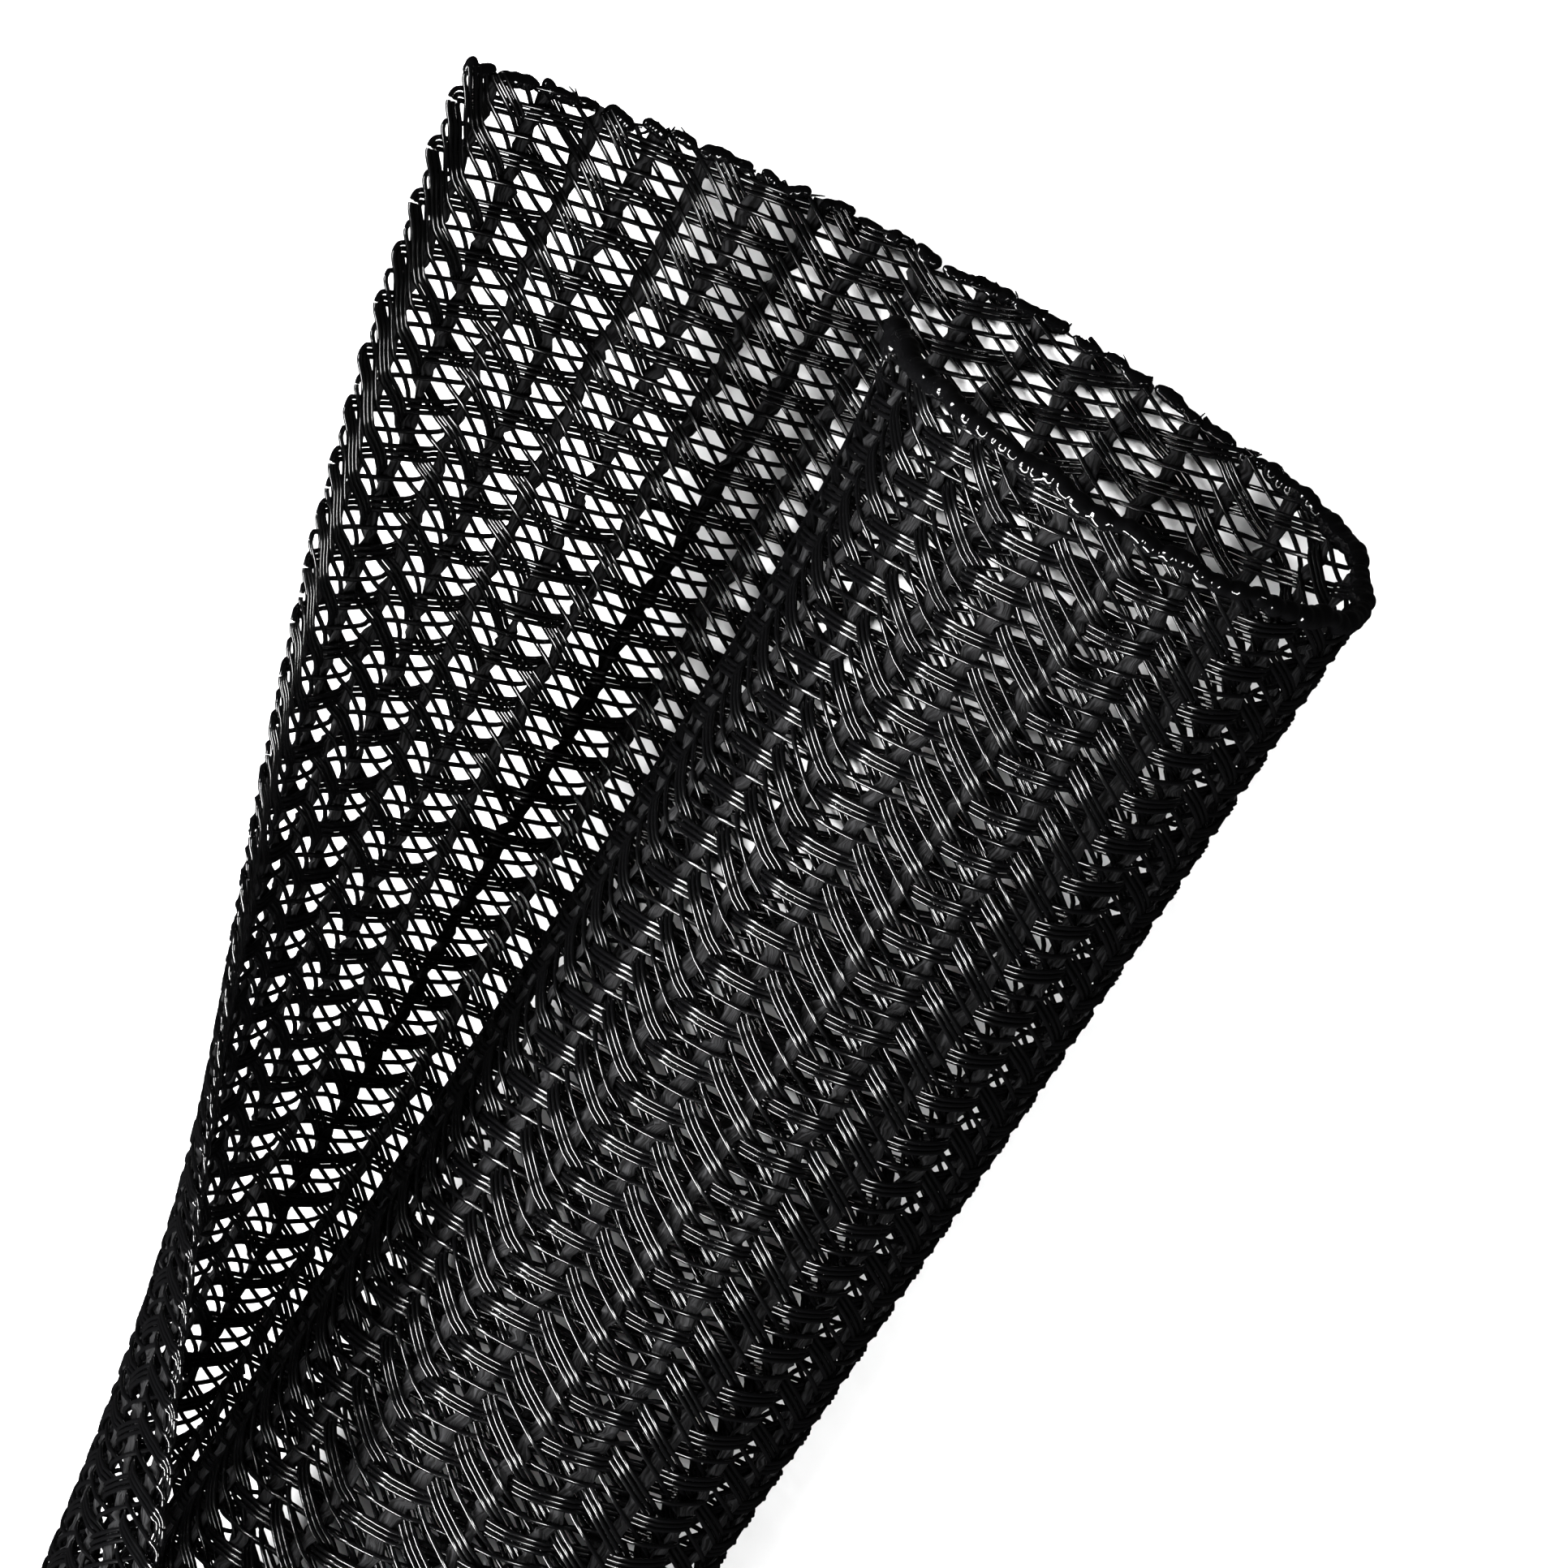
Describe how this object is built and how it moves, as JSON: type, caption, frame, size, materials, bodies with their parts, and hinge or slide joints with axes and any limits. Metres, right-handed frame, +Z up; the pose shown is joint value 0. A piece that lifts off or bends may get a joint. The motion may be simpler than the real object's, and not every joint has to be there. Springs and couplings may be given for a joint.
{
  "type": "split braided cable sleeve",
  "caption": "Split, self-wrapping braided sleeve that closes round a bundle of cables, with one hot-cut end sprung open.",
  "frame": {"origin": "centre of the bounding box in X and Y, at its lowest point in Z, where the sleeve lies on a level floor", "axes": "+X along the sleeve towards its sprung end, +Y from the roll towards the sprung flap, +Z up"},
  "size_m": [0.305, 0.0474, 0.0275],
  "materials": {
    "black_braid": "glossy black monofilament braid, with matt charcoal multifilament yarns along its length"
  },
  "bodies": {
    "root": {"braided_sleeve": "black_braid"}
  },
  "joints": []
}
